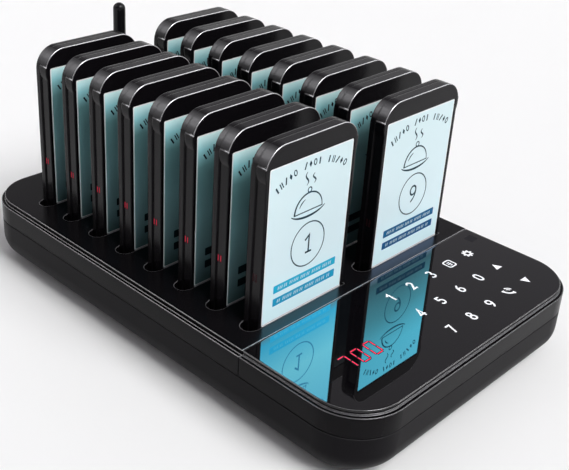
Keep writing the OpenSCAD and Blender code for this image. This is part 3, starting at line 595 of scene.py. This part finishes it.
def closeSheet(sheet, body):
    mesh = bpy.data.meshes.new(sheet["name"])
    sheet["bm"].to_mesh(mesh)
    sheet["bm"].free()
    for finish in sheet["finishes"]:
        mesh.materials.append(materials[finish])
    obj = bpy.data.objects.new(sheet["name"], mesh)
    bpy.context.scene.collection.objects.link(obj)
    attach(obj, body)


def arcPoints(cx, cy, rx, ry, start, end, steps):
    turn = [math.radians(start + (end - start) * i / steps) for i in range(steps + 1)]
    return [(cx + rx * math.cos(a), cy + ry * math.sin(a)) for a in turn]


def ringPoints(cx, cy, rx, ry, steps=32, power=1.0):   # a power under 1 squares the ring up
    pts = []
    for i in range(steps):
        c, s = math.cos(2 * math.pi * i / steps), math.sin(2 * math.pi * i / steps)
        pts.append((cx + rx * math.copysign(abs(c) ** power, c), cy + ry * math.copysign(abs(s) ** power, s)))
    return pts


def roundedBox(x0, y0, x1, y1, r, steps=5):
    corners = ((x1 - r, y0 + r, -90), (x1 - r, y1 - r, 0), (x0 + r, y1 - r, 90), (x0 + r, y0 + r, 180))
    pts = []
    for cx, cy, start in corners:
        pts += arcPoints(cx, cy, r, r, start, start + 90, steps)
    return pts


def swelling(steps, v, lead=0.0):   # pen widths of a stroke that is thin at its ends
    turns = [math.pi * (i + lead) / (steps + 2 * lead) for i in range(steps + 1)]
    return [v["thin"] + v["swell"] * math.sin(a) for a in turns]


# Digits as pen strokes in a box 0.6 wide and 1 tall; True marks a closed stroke
sixCurve = [(0.06, 0.30), (0.065, 0.45), (0.12, 0.63), (0.23, 0.80), (0.42, 0.97)]
digitStrokes = {
    "0": [(ringPoints(0.3, 0.5, 0.24, 0.46, 36, 0.8), True)],
    "1": [([(0.08, 0.74), (0.36, 0.97), (0.36, 0.0)], False)],
    "2": [(arcPoints(0.30, 0.71, 0.23, 0.25, 170, -30, 14) + [(0.07, 0.05), (0.56, 0.05)], False)],
    "3": [(arcPoints(0.28, 0.735, 0.21, 0.225, 155, -90, 14), False),
          (arcPoints(0.28, 0.275, 0.25, 0.235, 90, -155, 16), False)],
    "4": [([(0.44, 0.0), (0.44, 0.95), (0.04, 0.27), (0.60, 0.27)], False)],
    "5": [([(0.53, 0.95), (0.15, 0.95), (0.115, 0.56)], False),
          (arcPoints(0.28, 0.32, 0.26, 0.28, 128, -155, 18), False)],
    "6": [(ringPoints(0.3, 0.30, 0.24, 0.26, 28), True), (sixCurve, False)],
    "7": [([(0.06, 0.95), (0.54, 0.95), (0.22, 0.0)], False)],
    "8": [(ringPoints(0.3, 0.745, 0.195, 0.21, 24), True), (ringPoints(0.3, 0.28, 0.24, 0.25, 28), True)],
    "9": [([(0.6 - x, 1 - y) for x, y in ringPoints(0.3, 0.30, 0.24, 0.26, 28)], True),
          ([(0.6 - x, 1 - y) for x, y in sixCurve], False)],
}
digitBox = {"wide": 0.6, "gap": 0.12, "foot": (0.14, 0.58)}   # all as shares of a digit's height


def drawNumber(sheet, text, cx, cy, height, pen, finish, layer=0, foot=False):
    v = digitBox
    total = len(text) * v["wide"] + (len(text) - 1) * v["gap"]
    for k, digit in enumerate(text):
        x0 = cx + (k * (v["wide"] + v["gap"]) - total / 2) * height
        y0 = cy - height / 2
        for i, (points, closed) in enumerate(digitStrokes[digit]):
            moved = [(x0 + x * height, y0 + y * height) for x, y in points]
            addStroke(sheet, moved, pen, finish, layer + i * 0.2, closed)
        if foot and digit == "1":
            serif = [(x0 + x * height, y0 + pen / 2) for x in v["foot"]]
            addStroke(sheet, serif, pen, finish, layer + 0.4)


# Pager prints: pale card, arc of marks, serving dome, ringed number and two bars. All sizes are in
# millimetres from the face's lower middle, angles in degrees
pagerPrint = {
    "inset": 0.55, "corner": 0.5, "proud": 0.02, "layer": 0.015,
    "ring": {"x": 0.6, "y": 31.0, "radius": 10.5, "line": 0.6},
    "number": {"height": 9.0, "pairHeight": 8.2, "pen": 0.95},
    "arc": {"radius": 38.4, "markHeight": 3.1, "pen": 0.55, "step": 4.3,
            "groups": [(124.0, 5), (97.5, 4), (75.5, 5)]},   # first angle and number of marks
    "bars": [(-19.4, 13.6, 20.4, 17.4, "inkBar"), (-19.4, 7.2, 20.4, 11.0, "inkBarDeep")],
    "barCorner": 0.35,
    "ticks": {"tall": 1.6, "pen": 0.45, "lean": 0.2, "ends": (3.0, 2.6),
              "steps": [1.15, 1.15, 1.6, 1.15, 2.3, 1.15, 1.4, 1.15, 1.15, 2.1]},
}
domePrint = {
    "x": -0.8, "pen": 0.55,
    "lid": {"y": 47.6, "wide": 8.6, "tall": 8.4, "steps": 26, "pens": (0.5, 1.0)},
    "rim": {"y": 47.5, "half": 9.0},
    "plate": {"y": 49.4, "wide": 11.6, "tall": 4.6, "from": 205, "to": 335, "steps": 20, "thin": 0.35,
              "swell": 0.75},
    "shine": {"y": 47.8, "wide": 6.2, "tall": 6.0, "from": 112, "to": 158, "steps": 10, "thin": 0.2,
              "swell": 0.5},
    "knob": {"y": 57.3, "radius": 1.15, "steps": 16},
    "wisps": {"foot": 59.8, "tops": [(-3.0, 66.0), (1.6, 64.4)], "sway": 0.9, "steps": 12, "thin": 0.2,
              "swell": 0.6, "lead": 0.6},
}


def drawMark(sheet, kind, angle, v):
    a = math.radians(angle)
    ring = pagerPrint["ring"]
    out, along = Vector((math.cos(a), math.sin(a))), Vector((math.sin(a), -math.cos(a)))
    middle = Vector((ring["x"], ring["y"])) + out * v["radius"]
    h, pen = v["markHeight"] / 2, v["pen"]

    def at(s, t):
        return tuple(middle + along * s + out * t)

    if kind == 0:      # thick bar
        addStroke(sheet, [at(0, -h), at(0, h)], pen * 1.5, "inkDark", 2)
    elif kind == 1:    # lozenge
        addPatch(sheet, [at(0, -h), at(0.85, 0), at(0, h), at(-0.85, 0)], "inkDark", 2)
    elif kind == 2:    # two thin bars
        for s in (-0.55, 0.55):
            addStroke(sheet, [at(s, -h), at(s, h)], pen, "inkDark", 2)
    elif kind == 3:    # small ring
        addStroke(sheet, [at(x, y) for x, y in ringPoints(0, 0, 0.8, h * 0.85, 14)], pen, "inkDark", 2, True)
    else:              # leaning bar
        addStroke(sheet, [at(-0.7, -h), at(0.7, h)], pen * 1.4, "inkDark", 2)


def drawBow(sheet, v, layer):
    points = arcPoints(domePrint["x"], v["y"], v["wide"], v["tall"], v["from"], v["to"], v["steps"])
    addStroke(sheet, points, swelling(v["steps"], v), "inkDark", layer)


def drawDome(sheet, v):   # a covered dish with two wisps over it
    cx, lid, rim, knob, wisps = v["x"], v["lid"], v["rim"], v["knob"], v["wisps"]
    first, last = lid["pens"]
    pens = [first + (last - first) * i / lid["steps"] for i in range(lid["steps"] + 1)]
    arch = arcPoints(cx, lid["y"], lid["wide"], lid["tall"], 0, 180, lid["steps"])
    addStroke(sheet, arch, pens, "inkDark", 2)
    addStroke(sheet, [(cx - rim["half"], rim["y"]), (cx + rim["half"], rim["y"])], v["pen"], "inkDark", 2.2)
    drawBow(sheet, v["plate"], 2.4)
    ring = ringPoints(cx, knob["y"], knob["radius"], knob["radius"], knob["steps"])
    addStroke(sheet, ring, v["pen"], "inkDark", 2, True)
    drawBow(sheet, v["shine"], 2)
    steps, foot = wisps["steps"], wisps["foot"]
    for x, top in wisps["tops"]:
        wisp = [(x + wisps["sway"] * math.sin(math.tau * i / steps), foot + (top - foot) * i / steps)
                for i in range(steps + 1)]
        addStroke(sheet, wisp, swelling(steps, wisps, wisps["lead"]), "inkDark", 2)


def drawBarTicks(sheet, box, seed, v):   # plain leaning ticks in groups along a bar
    x0, y0, x1, y1, _ = box
    middle, half = (y0 + y1) / 2, v["tall"] / 2
    x, i = x0 + v["ends"][0], seed
    while x < x1 - v["ends"][1]:
        ends = [(x - v["lean"], middle - half), (x + v["lean"], middle + half)]
        addStroke(sheet, ends, v["pen"], "inkWhite", 4)
        x += v["steps"][i % len(v["steps"])]
        i += 1


def makePagerPrint(index, v):
    name = "pager_%02d" % index
    low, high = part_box(name + "_face")
    cx, y0, z0 = (low.x + high.x) / 2, low.y, low.z
    halfWidth, height = (high.x - low.x) / 2 / mm, (high.z - low.z) / mm

    def onFace(x, y, layer):
        return (cx + x * mm, y0 - (v["proud"] + v["layer"] * layer) * mm, z0 + y * mm)

    sheet = newSheet(name + "_print", onFace, ["printCard", "inkDark", "inkBar", "inkBarDeep", "inkWhite"])
    inset, ring, number, arc = v["inset"], v["ring"], v["number"], v["arc"]
    card = roundedBox(-halfWidth + inset, inset, halfWidth - inset, height - inset, v["corner"], 3)
    addPatch(sheet, card, "printCard")
    circle = ringPoints(ring["x"], ring["y"], ring["radius"], ring["radius"], 72)
    addStroke(sheet, circle, ring["line"], "inkDark", 2, True)
    tall = number["height"] if index < 10 else number["pairHeight"]
    drawNumber(sheet, str(index), ring["x"], ring["y"], tall, number["pen"], "inkDark", 2, foot=True)
    for start, count in arc["groups"]:
        for i in range(count):
            drawMark(sheet, (i * 2 + count) % 5, start - i * arc["step"], arc)
    drawDome(sheet, domePrint)
    for i, box in enumerate(v["bars"]):
        addPatch(sheet, roundedBox(*box[:4], v["barCorner"], 3), box[4], 2)
        drawBarTicks(sheet, box, 3 * i, v["ticks"])
    closeSheet(sheet, name)


for index in range(1, pagerCount + 1):
    makePagerPrint(index, pagerPrint)
print("pager prints made")

# Two red lamp windows on each pager's left side, in millimetres from the case's lower front edge
windowSizes = {"depth": 3.6, "height": 59.6, "tall": 2.9, "wide": 0.48, "gap": 1.5, "rimWider": 2.0,
               "rimTaller": 0.5, "proud": 0.02, "layer": 0.015, "wallAt": 1.5}
unlitPagers = (1, 9)


def leftOfPager(obj, low, y, z):   # x of the outer surface seen from the left
    _, spot, _, _ = obj.ray_cast(Vector((low.x - 0.005, y, z)), Vector((1, 0, 0)))
    return spot.x


def makePagerWindow(index, v):
    name = "pager_%02d" % index
    low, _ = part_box(name + "_case")
    yMid, zMid = low.y + v["depth"] * mm, v["height"] * mm
    x0 = leftOfPager(nodes[name + "_case"], low, low.y + v["wallAt"] * mm, zMid)

    def onSide(x, y, layer):   # seen from the left: to the right is towards the front
        return (x0 - (v["proud"] + v["layer"] * layer) * mm, yMid - x * mm, zMid + y * mm)

    rim, lamp = ("lampOff", "lampOff") if index in unlitPagers else ("lampRim", "lampRed")
    sheet = newSheet(name + "_window", onSide, ["lampRim", "lampRed", "lampOff"])
    tall, wide = v["tall"] / 2, v["wide"] / 2
    rimTall, rimWide = tall + v["rimTaller"], wide * v["rimWider"]
    for side in (-0.5, 0.5):
        x = side * v["gap"]
        addPatch(sheet, roundedBox(x - rimWide, -rimTall, x + rimWide, rimTall, wide * 0.9, 4), rim, 1 + side)
        addPatch(sheet, roundedBox(x - wide, -tall, x + wide, tall, wide * 0.8, 4), lamp, 3)
    closeSheet(sheet, name)


for index in range(1, pagerCount + 1):
    makePagerWindow(index, windowSizes)
print("lamp windows made")

# The panel's key symbols, display digits and sensor window, in millimetres in the part's own frame
_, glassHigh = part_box("touch_glass")
panelPrint = {
    "columns": [-1.7, 13.5, 28.8, 44.0, 59.3], "rows": [-79.7, -96.1, -112.6],
    "keys": [["1", "2", "3", "tag", "gear"], ["4", "5", "6", "0", "up"], ["7", "8", "9", "call", "down"]],
    "height": 5.6, "pen": 0.92, "proud": 0.012,
}
gear = {"teeth": 8, "profile": [(-0.30, 2.15), (-0.19, 3.0), (0.19, 3.0), (0.30, 2.15)], "hole": 1.05}
tag = {"half": (2.5, 2.6), "corner": 1.1, "pen": 0.75, "linePen": 0.6,
       "lines": [(1.0, 1.0), (-0.1, 1.3), (-1.2, 0.8)]}   # height and half length of each line
handset = {"middle": 1.9, "radius": 3.9, "angles": (175, 275), "steps": 12,
           "pens": [1.7, 1.7, 1.3, 1.05, 1.0, 1.0, 1.0, 1.0, 1.0, 1.05, 1.3, 1.7, 1.7],
           "waveMiddle": 0.1, "waves": (1.5, 2.7), "waveAngles": (5, 85), "waveSteps": 8, "wavePen": 0.65}
arrow = [(-2.3, -2.0), (2.3, -2.0), (0.0, 2.4)]
sensorWindow = {"box": (71.0, -74.6, 76.4, -69.6), "corner": 0.6}


def onPanel(x, y, layer):
    return (x * mm, y * mm, glassHigh.z + panelPrint["proud"] * (1 + layer) * mm)


def drawGear(sheet, cx, cy, v):
    bm = sheet["bm"]
    turns = [(math.tau * (i + offset) / v["teeth"], r)
             for i in range(v["teeth"]) for offset, r in v["profile"]]
    outer = [bm.verts.new(onPanel(cx + r * math.cos(a), cy + r * math.sin(a), 1)) for a, r in turns]
    hole = [bm.verts.new(onPanel(cx + v["hole"] * math.cos(a), cy + v["hole"] * math.sin(a), 1))
            for a, _ in turns]
    index = sheet["finishes"].index("keyWhite")
    for i in range(len(outer)):
        j = (i + 1) % len(outer)
        bm.faces.new((outer[i], outer[j], hole[j], hole[i])).material_index = index


def drawTag(sheet, cx, cy, v):   # a rounded slip with lines on it
    across, up = v["half"]
    slip = roundedBox(cx - across, cy - up, cx + across, cy + up, v["corner"], 4)
    addStroke(sheet, slip, v["pen"], "keyWhite", 1, True)
    for y, half in v["lines"]:
        addStroke(sheet, [(cx - half, cy + y), (cx + half, cy + y)], v["linePen"], "keyWhite", 1)


def drawCall(sheet, cx, cy, v):   # a handset with two arcs
    middle, r = v["middle"], v["radius"]
    grip = arcPoints(cx + middle, cy + middle, r, r, *v["angles"], v["steps"])
    addStroke(sheet, grip, v["pens"], "keyWhite", 1)
    middle = v["waveMiddle"]
    for r in v["waves"]:
        wave = arcPoints(cx + middle, cy + middle, r, r, *v["waveAngles"], v["waveSteps"])
        addStroke(sheet, wave, v["wavePen"], "keyWhite", 1)


def drawKey(sheet, kind, cx, cy, v):
    if kind.isdigit():
        drawNumber(sheet, kind, cx, cy, v["height"], v["pen"], "keyWhite", 1)
    elif kind == "gear":
        drawGear(sheet, cx, cy, gear)
    elif kind == "tag":
        drawTag(sheet, cx, cy, tag)
    elif kind == "call":
        drawCall(sheet, cx, cy, handset)
    else:
        s = 1 if kind == "up" else -1
        addPatch(sheet, [(cx + x * s, cy + y * s) for x, y in arrow], "keyWhite", 1)


def makeKeys(v):
    sheet = newSheet("panel_keys", onPanel, ["keyWhite"])
    for row, y in enumerate(v["rows"]):
        for column, x in enumerate(v["columns"]):
            drawKey(sheet, v["keys"][row][column], x, y, v)
    closeSheet(sheet, "base")


ledDigits = {"text": "700", "x": -54.45, "y": -98.6, "pitch": 8.0, "wide": 4.2, "tall": 8.3, "lean": 0.07,
             "pen": 0.42, "paintedGlowWidth": 1.15, "trim": 0.35}
segmentEnds = {"top": ((0, 1), (1, 1)), "upperLeft": ((0, 0.5), (0, 1)), "upperRight": ((1, 0.5), (1, 1)),
               "lowerLeft": ((0, 0), (0, 0.5)), "lowerRight": ((1, 0), (1, 0.5)), "bottom": ((0, 0), (1, 0))}
segmentsOf = {"7": ["top", "upperRight", "lowerRight"],
              "0": ["top", "upperLeft", "upperRight", "lowerLeft", "lowerRight", "bottom"]}


def makeDigits(v):
    sheet = newSheet("display_digits", onPanel, ["paintedLedGlow", "ledRed"])
    pens = [v["pen"] * 0.4, v["pen"], v["pen"], v["pen"] * 0.4]   # pointed ends
    for k, digit in enumerate(v["text"]):
        middle = v["x"] + k * v["pitch"]
        for segment in segmentsOf[digit]:
            ends = []
            for sx, sy in segmentEnds[segment]:
                y = (sy - 0.5) * v["tall"]
                ends.append(Vector((middle + (sx - 0.5) * v["wide"] + y * v["lean"], v["y"] + y)))
            a, b = ends
            trim = (b - a).normalized() * v["trim"]
            # painted glow round the segment, a wider dim stroke under it
            addStroke(sheet, [a + trim * 0.4, b - trim * 0.4], v["paintedGlowWidth"], "paintedLedGlow", 1 + 0.1 * k)
            addStroke(sheet, [a + trim, a + trim * 1.6, b - trim * 1.6, b - trim], pens, "ledRed", 3)
    closeSheet(sheet, "base")


def makeSensorWindow(v):
    sheet = newSheet("panel_sensor", onPanel, ["sensorDark"])
    addPatch(sheet, roundedBox(*v["box"], v["corner"], 4), "sensorDark", 1)
    closeSheet(sheet, "base")


makeKeys(panelPrint)
makeDigits(ledDigits)
makeSensorWindow(sensorWindow)
print("panel printed")

# Floor, backdrop, world and lamps, in metres and degrees
studio = {
    "rings": (0.6, 1.4), "floorRadius": 2.3, "bend": 0.3, "wallHeight": 0.8, "steps": 96,
    "floorColour": rgba(0.94, 0.94, 0.94), "floorTone": (0.98, 1.0), "whiteFrom": (0.45, 1.3),
    "worldColour": rgba(0.066, 0.060, 0.070),
    "softColour": rgba(0.44, 0.425, 0.455), "softFrom": (0.646, 0.616, 0.451), "softSpread": (0.60, 0.97),
    "key": {"strength": 2.65, "angle": 35, "towards": (-0.06, 0.62, -0.78)},
    "top": {"strength": 0.60, "angle": 90, "towards": (0.1, 0.1, -1.0)},
    "edgeRight": {"strength": 0.75, "angle": 34, "towards": (-0.646, 0.450, -0.616)},
    "edgeLeft": {"strength": 0.70, "angle": 34, "towards": (0.450, -0.616, -0.646)},
}


# Far from the object the floor is plain white to the eye and in mirrors. Near it it keeps the shadow
def makeFloorFinish(v):
    mat, tree, bsdf = newMaterial("floor", {"Roughness": 0.9, "Specular IOR Level": 0.0})
    tone = rescale(tree, noise(tree, 3.0, {"Detail": 2.0}), 0.0, 1.0, *v["floorTone"])
    connect(tree, bsdf, {"Base Color": mix(tree, 1.0, v["floorColour"], tone, blend_type="MULTIPLY")})
    distance = vectorCalc(tree, "LENGTH", "Value", spotOn(tree))
    far = rescale(tree, distance, *v["whiteFrom"], interpolation_type="SMOOTHSTEP")
    seen = calc(tree, "MAXIMUM", raysOf(tree, "Is Camera Ray"), raysOf(tree, "Is Glossy Ray"))
    seen = calc(tree, "MAXIMUM", seen, raysOf(tree, "Is Transmission Ray"))
    white = addNode(tree, "ShaderNodeEmission", {"Color": rgba(1, 1, 1), "Strength": 1.0})
    both = addNode(tree, "ShaderNodeMixShader", {0: calc(tree, "MULTIPLY", seen, far), 1: bsdf.outputs[0],
                                                 2: white.outputs[0]})
    connect(tree, tree.nodes["Material Output"], {"Surface": both.outputs[0]})
    return mat


def makeStage(v):   # a round floor that turns up into a low wall
    bm = bmesh.new()
    edge, bend, steps = v["floorRadius"] - v["bend"], v["bend"], v["steps"]
    profile = [(r, 0.0) for r in v["rings"] + (edge,)]
    profile += [(edge + bend * math.sin(a), bend - bend * math.cos(a))
                for a in [math.radians(15 * i) for i in range(1, 7)]]
    profile.append((v["floorRadius"], v["wallHeight"]))
    turns = [math.tau * i / steps for i in range(steps)]
    rings = [[bm.verts.new((r * math.cos(a), r * math.sin(a), z)) for a in turns] for r, z in profile]
    centre = bm.verts.new((0, 0, 0))
    for i in range(steps):
        j = (i + 1) % steps
        bm.faces.new((centre, rings[0][i], rings[0][j]))
        for inner, outer in zip(rings, rings[1:]):
            bm.faces.new((inner[i], outer[i], outer[j], inner[j]))
    for face in bm.faces:
        face.smooth = True
    mesh = bpy.data.meshes.new("floor")
    bm.to_mesh(mesh)
    bm.free()
    floor = bpy.data.objects.new("floor", mesh)
    bpy.context.scene.collection.objects.link(floor)
    mesh.materials.append(makeFloorFinish(v))


def addSun(name, v, edgesOnly):
    lamp = bpy.data.lights.new(name, "SUN")
    lamp.energy = v["strength"]
    lamp.angle = math.radians(v["angle"])
    obj = bpy.data.objects.new(name, lamp)
    obj.rotation_euler = Vector(v["towards"]).to_track_quat("-Z", "Y").to_euler()
    obj.visible_diffuse = not edgesOnly
    bpy.context.scene.collection.objects.link(obj)


def makeWorld(v):
    world = bpy.data.worlds.new("studio")
    bpy.context.scene.world = world
    world.use_nodes = True
    tree = world.node_tree
    around = addNode(tree, "ShaderNodeTexCoord").outputs["Generated"]
    towards = vectorCalc(tree, "DOT_PRODUCT", "Value", around, v["softFrom"])
    soft = rescale(tree, towards, *v["softSpread"], interpolation_type="SMOOTHSTEP")
    connect(tree, tree.nodes["Background"], {"Color": mix(tree, soft, v["worldColour"], v["softColour"]),
                                             "Strength": 1.0})


makeStage(studio)
makeWorld(studio)
for name in ("key", "top", "edgeRight", "edgeLeft"):
    addSun(name, studio[name], edgesOnly=name.startswith("edge"))
print("studio lit")
